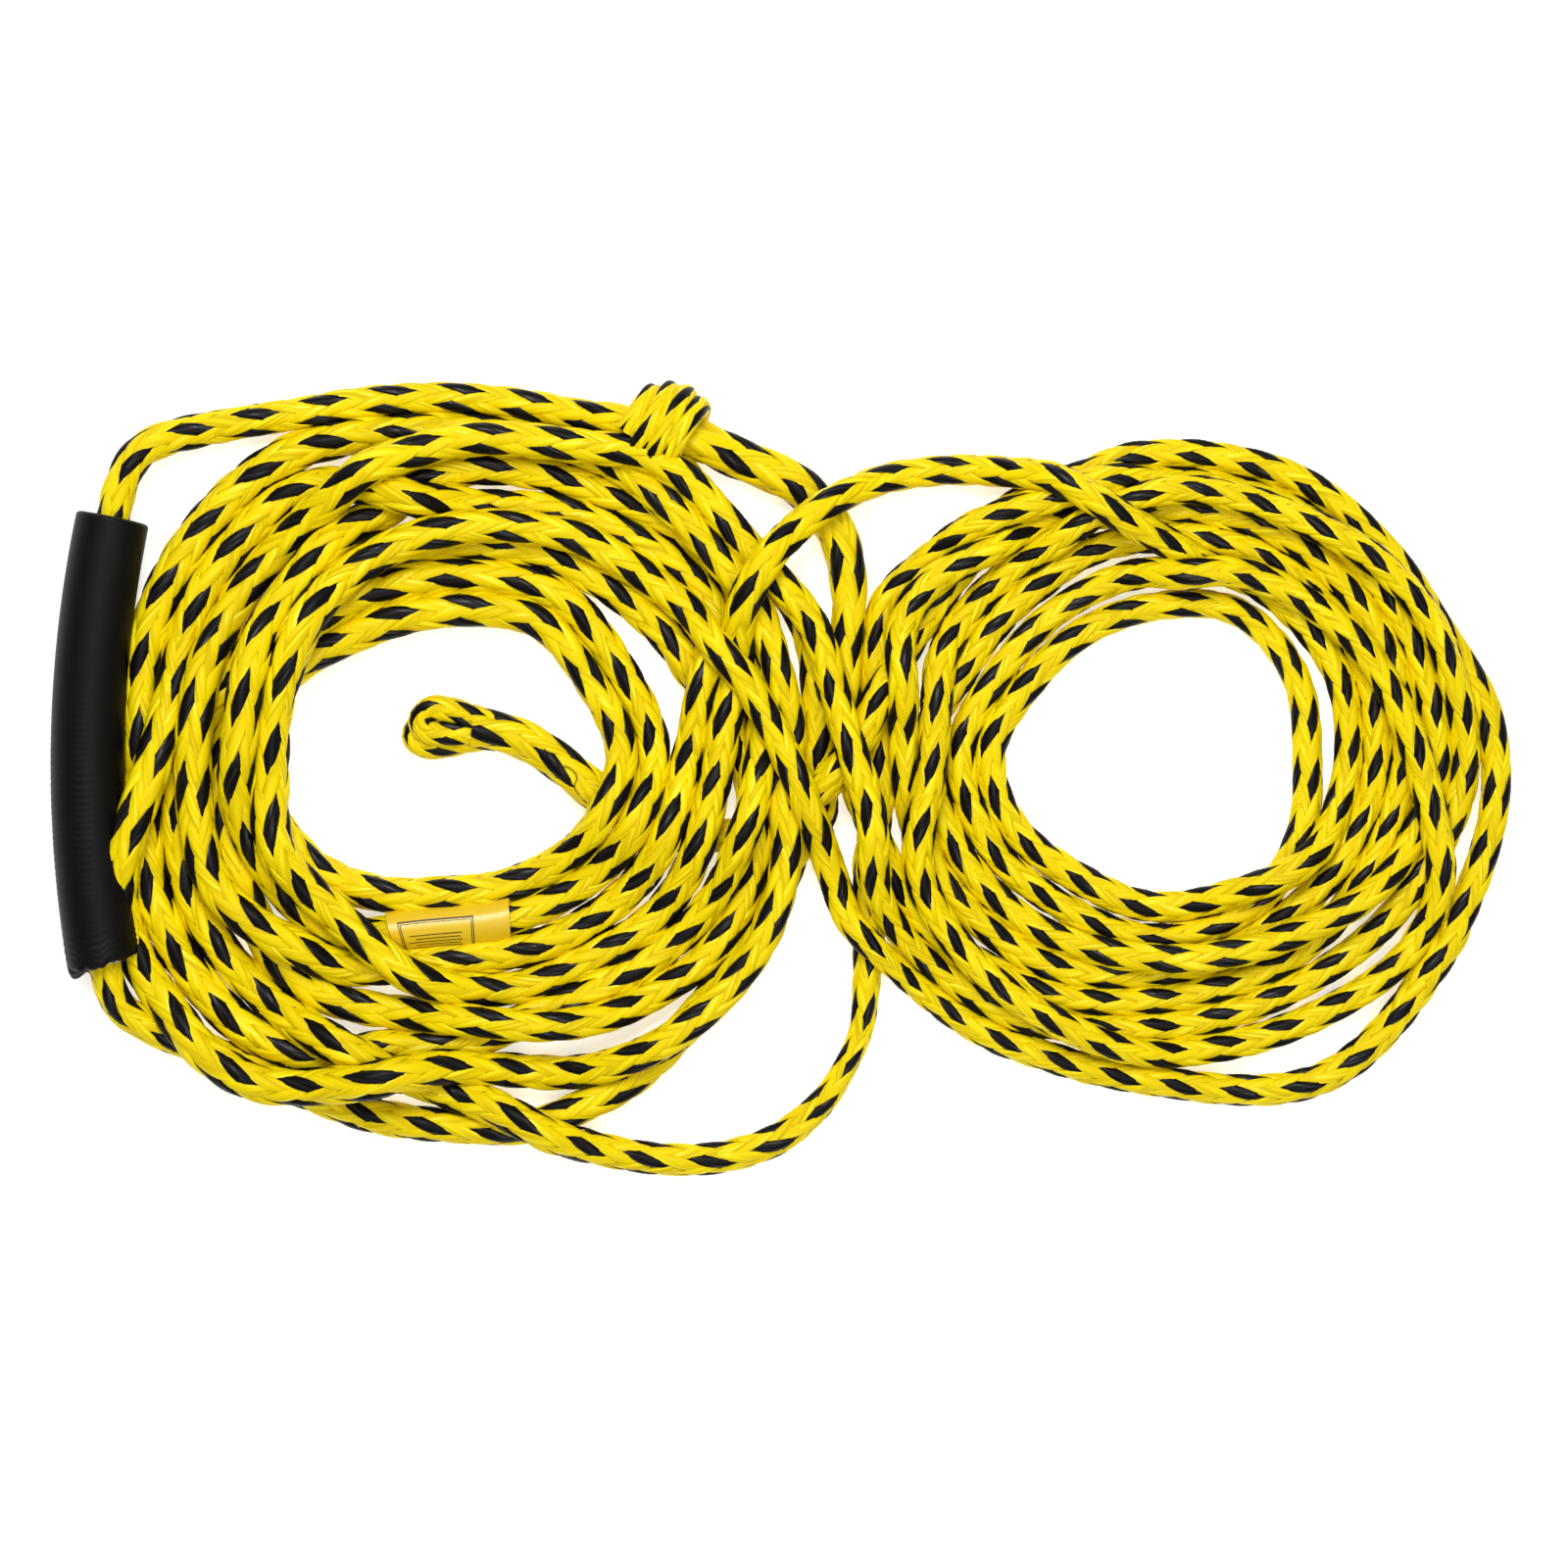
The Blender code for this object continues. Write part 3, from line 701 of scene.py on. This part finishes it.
# ---------------------------------------------------------------- label sleeve
LABEL_D = 0.0198
LABEL_SIDES = 32
LABEL_SKEW = 0.0035         # how much further the sleeve's lower edge reaches than its upper one
LABEL_PLACE = (0.1530, -0.0800)
LABEL_REACH = (0.029, 0.012)    # the sleeve covers the line this near to its place, in x and in y
LABEL_STEP = 0.0004
LABEL_CREASES = ((0.035, 2, 0.5), (0.012, 5, 0.0))      # size, creases round the sleeve, turn of each
INK_RISE = 0.00012          # keeps the print just clear of the film
PRINT_DEGREES = 6           # a printed strip gets a column of points every so many degrees
PRINT_TURN = -27            # the panel faces a little to one side of straight up (degrees)
# Printed strips on the sleeve: from, to along it and from, to round it from straight up (degrees).
LABEL_PRINT = [
    (0.30, 0.93, -52, -48), (0.30, 0.93, 46, 50), (0.30, 0.308, -52, 50), (0.922, 0.93, -52, 50),
    (0.32, 0.91, -45, -43.4), (0.32, 0.91, 41.4, 43), (0.32, 0.324, -45, 43), (0.906, 0.91, -45, 43),
    (0.40, 0.86, -30, -27.6), (0.42, 0.82, -20, -17.6), (0.40, 0.87, -10, -7.6), (0.42, 0.80, 0, 2.4),
    (0.40, 0.85, 10, 12.4),
]


def label_piece(main_path):
    """Printed film sleeve round one stretch of the line, with a plain panel on its upper face."""
    near_x = np.abs(main_path[:, 0] - LABEL_PLACE[0]) < LABEL_REACH[0]
    near_y = np.abs(main_path[:, 1] - LABEL_PLACE[1]) < LABEL_REACH[1]
    near = longest_run(np.nonzero(near_x & near_y)[0])
    path = even_rows(averaged(main_path[near[0]:near[-1] + 1], 3), LABEL_STEP, 3)
    tangent, side, other = frames_along(path)
    upright = np.arctan2(other[:, 2], side[:, 2])
    slant = np.linspace(-0.5, 0.5, len(path)) * LABEL_SKEW
    whole_turn = np.linspace(0, 2 * math.pi, LABEL_SIDES + 1)
    points = [label_surface(path, tangent, side, other, upright, slant, whole_turn, 0.0)]
    quads = [yarn_faces(0, len(path), LABEL_SIDES + 1)]
    tones = [np.zeros(len(quads[0]))]
    count = len(points[0])
    last = len(path) - 1
    for start, end, low, high in LABEL_PRINT:
        first = int(start * last)
        rows = slice(first, max(first + 2, int(end * last) + 1))
        turn = np.radians(np.linspace(low, high, max(3, int((high - low) / PRINT_DEGREES))) + PRINT_TURN)
        part = label_surface(path[rows], tangent[rows], side[rows], other[rows], upright[rows], slant[rows],
                             turn, INK_RISE)
        points.append(part)
        quads.append(yarn_faces(count, len(path[rows]), len(turn)))
        tones.append(np.ones(len(quads[-1])))
        count += len(part)
    film = plain_material("label_film", linear(204, 158, 0), 0.32, specular=0.25, coat=0.05)
    ink = plain_material("label_ink", linear(48, 38, 8), 0.45)
    return mesh_object("label_film_sleeve", np.concatenate(points), np.concatenate(quads),
                       np.concatenate(tones), [film, ink])


def label_surface(path, tangent, side, other, upright, slant, turn, rise):
    """Points on the sleeve at the given turns from straight up, slightly creased along its length."""
    crease = np.ones(len(turn))
    for size, creases, start in LABEL_CREASES:
        crease = crease + size * np.cos(creases * (turn - start))
    far = (0.5 * LABEL_D * crease + rise)[None, :]
    skew = slant[:, None] * np.sin(turn)[None, :]
    grid = points_round(path, side, other, far, upright[:, None] + turn[None, :])
    return (grid + skew[:, :, None] * tangent[:, None, :]).reshape(-1, 3)


def longest_run(indices):
    """The longest stretch of consecutive numbers."""
    parts = np.split(indices, np.nonzero(np.diff(indices) > 1)[0] + 1)
    return max(parts, key=len)


# ---------------------------------------------------------------- foam grip
GRIP_RINGS = 260
GRIP_SIDES = 72
FOAM_SHARE = 0.975          # the rounded lips take up the rest of the foam's length
FOAM_INSET = 0.00015        # keeps the wrinkles inside the grip's full diameter
TORN_FROM = 0.9             # share of the length from which the foam is drawn in to the torn edge
TORN_REACH = 0.1
TORN_LIP = 1.6              # how much further the torn end's lip bulges than the clean one's
# The lip at an end of the foam: shrink towards the axis and push outwards, down to the bore.
FOAM_LIP = [(0.985, 0.0006), (0.95, 0.0011), (0.88, 0.0015), (0.76, 0.0016), (0.63, 0.0012), (0.57, 0.0004),
            (0.55, -0.0080)]
# Wrinkles: where along the grip and how far they spread, then their strength.
WRINKLE_MIDDLE = (0.66, 0.20)
WRINKLE_END = (0.97, 0.035)
WRINKLE_END_STRENGTH = 1.8
WRINKLE_SIDE = 0.9          # side of the grip that wrinkles most (radians from the left)
WRINKLE_FACING = (0.35, 0.65)   # strength all round, and the part that depends on the side
FINE_WRINKLE = 0.00011      # height of the fine wrinkles
FINE_WAVES = 420            # how closely they follow each other along the grip
FINE_SWAY = (2.2, 3)        # how far they sway to and fro round the grip, and how often
FINE_CROWD = (1.3, 37)      # how much they crowd together along it, and how often
BROAD_WRINKLE = 0.000025
BROAD_WAVES = 61
# The torn end: one notch and a ragged edge, cut a little askew.
NOTCH_TURN = 0.55
NOTCH_WIDTH = 0.26
NOTCH_DEPTH = 0.0036
TATTERS = ((0.0007, 7, 0), (0.0005, 17, 1))     # size, waves round the edge, start of each
ASKEW = 0.0030


def foam_wrinkles(share, turn):
    """Height of the fine cross wrinkles in the foam's skin, strongest below the middle."""
    middle, middle_reach = WRINKLE_MIDDLE
    end, end_reach = WRINKLE_END
    all_round, one_side = WRINKLE_FACING
    sway, sways = FINE_SWAY
    crowd, crowds = FINE_CROWD
    facing = max(0.0, all_round + one_side * math.cos(turn - WRINKLE_SIDE))
    strong = math.exp(-((share - middle) / middle_reach) ** 2) * facing
    strong += WRINKLE_END_STRENGTH * math.exp(-((share - end) / end_reach) ** 2)
    fine = math.sin(share * FINE_WAVES + sway * math.sin(sways * turn) + crowd * math.sin(share * crowds))
    broad = math.sin(share * BROAD_WAVES + 2 * turn)
    return (FINE_WRINKLE * fine + BROAD_WRINKLE * broad) * strong


def torn_edge(turn):
    """How far the lower end falls short or runs over, with one torn notch."""
    notch = math.exp(-((turn - NOTCH_TURN) / NOTCH_WIDTH) ** 2) * NOTCH_DEPTH
    tatter = sum(size * math.sin(waves * turn + start) for size, waves, start in TATTERS)
    return notch + tatter - ASKEW * math.cos(turn)


def grip_piece():
    """Bowed foam tube with soft cross wrinkles, rounded cut ends and a torn lower edge."""
    rows = []
    for ring in range(GRIP_RINGS + 1):
        share = ring / GRIP_RINGS
        row = []
        for k in range(GRIP_SIDES):
            turn = 2 * math.pi * k / GRIP_SIDES
            shorter = torn_edge(turn) * max(0.0, share - TORN_FROM) / TORN_REACH
            angle = BOW_HALF * FOAM_SHARE * (1 - 2 * share) + shorter / BOW_RADIUS
            far = GRIP_D / 2 - FOAM_INSET + foam_wrinkles(share, turn)
            row.append(bow_point(angle, far * math.cos(turn), far * math.sin(turn)))
        rows.append(row)
    rows = lip_rings(rows[0], rows[2], 1.0)[::-1] + rows + lip_rings(rows[-1], rows[-3], TORN_LIP)
    points = np.array(rows).reshape(-1, 3)
    quads = closed_quads(len(rows), GRIP_SIDES)
    return mesh_object("grip_foam", points, quads, np.zeros(len(quads)), [foam_material()])


def closed_quads(rings, sides):
    """Quads of a tube whose rings close on themselves."""
    quads = []
    for ring in range(rings - 1):
        for k in range(sides):
            after = (k + 1) % sides
            quads.append((ring * sides + k, ring * sides + after, (ring + 1) * sides + after,
                          (ring + 1) * sides + k))
    return np.array(quads)


def lip_rings(edge, inner, rough):
    """Rings that carry one end of the tube round its lip and down to the bore."""
    edge = np.array(edge)
    centre = edge.mean(axis=0)
    outward = centre - np.array(inner).mean(axis=0)
    outward /= np.linalg.norm(outward)
    rings = []
    for shrink, push in FOAM_LIP:
        rings.append([tuple(centre + (point - centre) * shrink + outward * push * rough) for point in edge])
    return rings


def foam_material():
    """Near-black closed-cell foam with a satin skin."""
    return plain_material("grip_foam_black", linear(7, 7, 8), 0.50, specular=0.13)


# ---------------------------------------------------------------- view, light and floor
VIEW_CENTRE = (0.297, -0.013)
VIEW_WIDTH = 0.68           # width of floor that the picture takes in
CAMERA_HEIGHT = 2.0
CAMERA_TURN = 1.12          # degrees
CAMERA_REACH = 1.99         # distance at which the picture is that wide
SENSOR = 36
KEY_LIGHT = ((0.1, 0.8, 1.5), 0.8, 21)      # place, size, power
FILL_LIGHT = ((0.7, -0.6, 1.6), 0.9, 10)
WORLD_GLOW = 0.34
FLOOR_HALF = 3.0
FLOOR_TONE = (0.90, 0.90, 0.90, 1)
FLOOR_GLOW = 0.54
WHITE = (1, 1, 1, 1)


def camera_and_lights():
    """The overhead camera and a soft, nearly shadowless studio light."""
    camera = bpy.data.objects.new("camera", bpy.data.cameras.new("camera"))
    camera.location = (*VIEW_CENTRE, CAMERA_HEIGHT)
    camera.rotation_euler = (0, 0, math.radians(CAMERA_TURN))
    camera.data.sensor_width = SENSOR
    camera.data.lens = SENSOR * CAMERA_REACH / VIEW_WIDTH
    bpy.context.scene.collection.objects.link(camera)
    bpy.context.scene.camera = camera
    world = bpy.data.worlds.new("studio")
    world.use_nodes = True
    world.node_tree.nodes["Background"].inputs["Color"].default_value = WHITE
    world.node_tree.nodes["Background"].inputs["Strength"].default_value = WORLD_GLOW
    bpy.context.scene.world = world
    area_light("key", *KEY_LIGHT)
    area_light("fill", *FILL_LIGHT)
    bpy.context.scene.view_settings.view_transform = "Standard"


def area_light(name, place, size, power):
    """A square softbox aimed at the middle of the coil."""
    light = bpy.data.lights.new(name, "AREA")
    light.size = size
    light.energy = power
    item = bpy.data.objects.new(name, light)
    item.location = place
    aim = Vector((*VIEW_CENTRE, 0)) - Vector(place)
    item.rotation_euler = aim.to_track_quat("-Z", "Y").to_euler()
    bpy.context.scene.collection.objects.link(item)


def floor_material():
    """White table that glows a little, as a lit sweep does."""
    material = plain_material("floor_white", FLOOR_TONE, 0.9, specular=0.0)
    shader = material.node_tree.nodes["Principled BSDF"]
    shader.inputs["Emission Color"].default_value = WHITE
    shader.inputs["Emission Strength"].default_value = FLOOR_GLOW
    return material


def floor_piece():
    """Plain white floor."""
    corners = [(-FLOOR_HALF, -FLOOR_HALF, 0), (FLOOR_HALF, -FLOOR_HALF, 0), (FLOOR_HALF, FLOOR_HALF, 0),
               (-FLOOR_HALF, FLOOR_HALF, 0)]
    mesh = bpy.data.meshes.new("floor")
    mesh.from_pydata(corners, [], [(0, 1, 2, 3)])
    mesh.materials.append(floor_material())
    item = bpy.data.objects.new("floor", mesh)
    bpy.context.scene.collection.objects.link(item)
    return item


def main():
    """Camera and cords first, then the pieces, and what each stands for."""
    camera_and_lights()
    line, main_path, bridle, bridle_line = rope_pieces()
    knot = knot_piece()
    eye = eye_piece()
    label = label_piece(main_path)
    grip = grip_piece()
    for item in (line, bridle, knot, eye, label):
        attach(item, "rope")
    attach(grip, "grip")
    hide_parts("rope_coil", "splice_rope", "crossing_rope", "loose_loop_rope", "eye_neck_rope",
                "label_rope")
    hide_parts("grip_rope", "upper_leg_rope", "lower_leg_rope")
    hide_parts("stopper_knot")
    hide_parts("tow_eye")
    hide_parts("label_sleeve")
    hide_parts("foam_grip")
    floor_piece()


main()
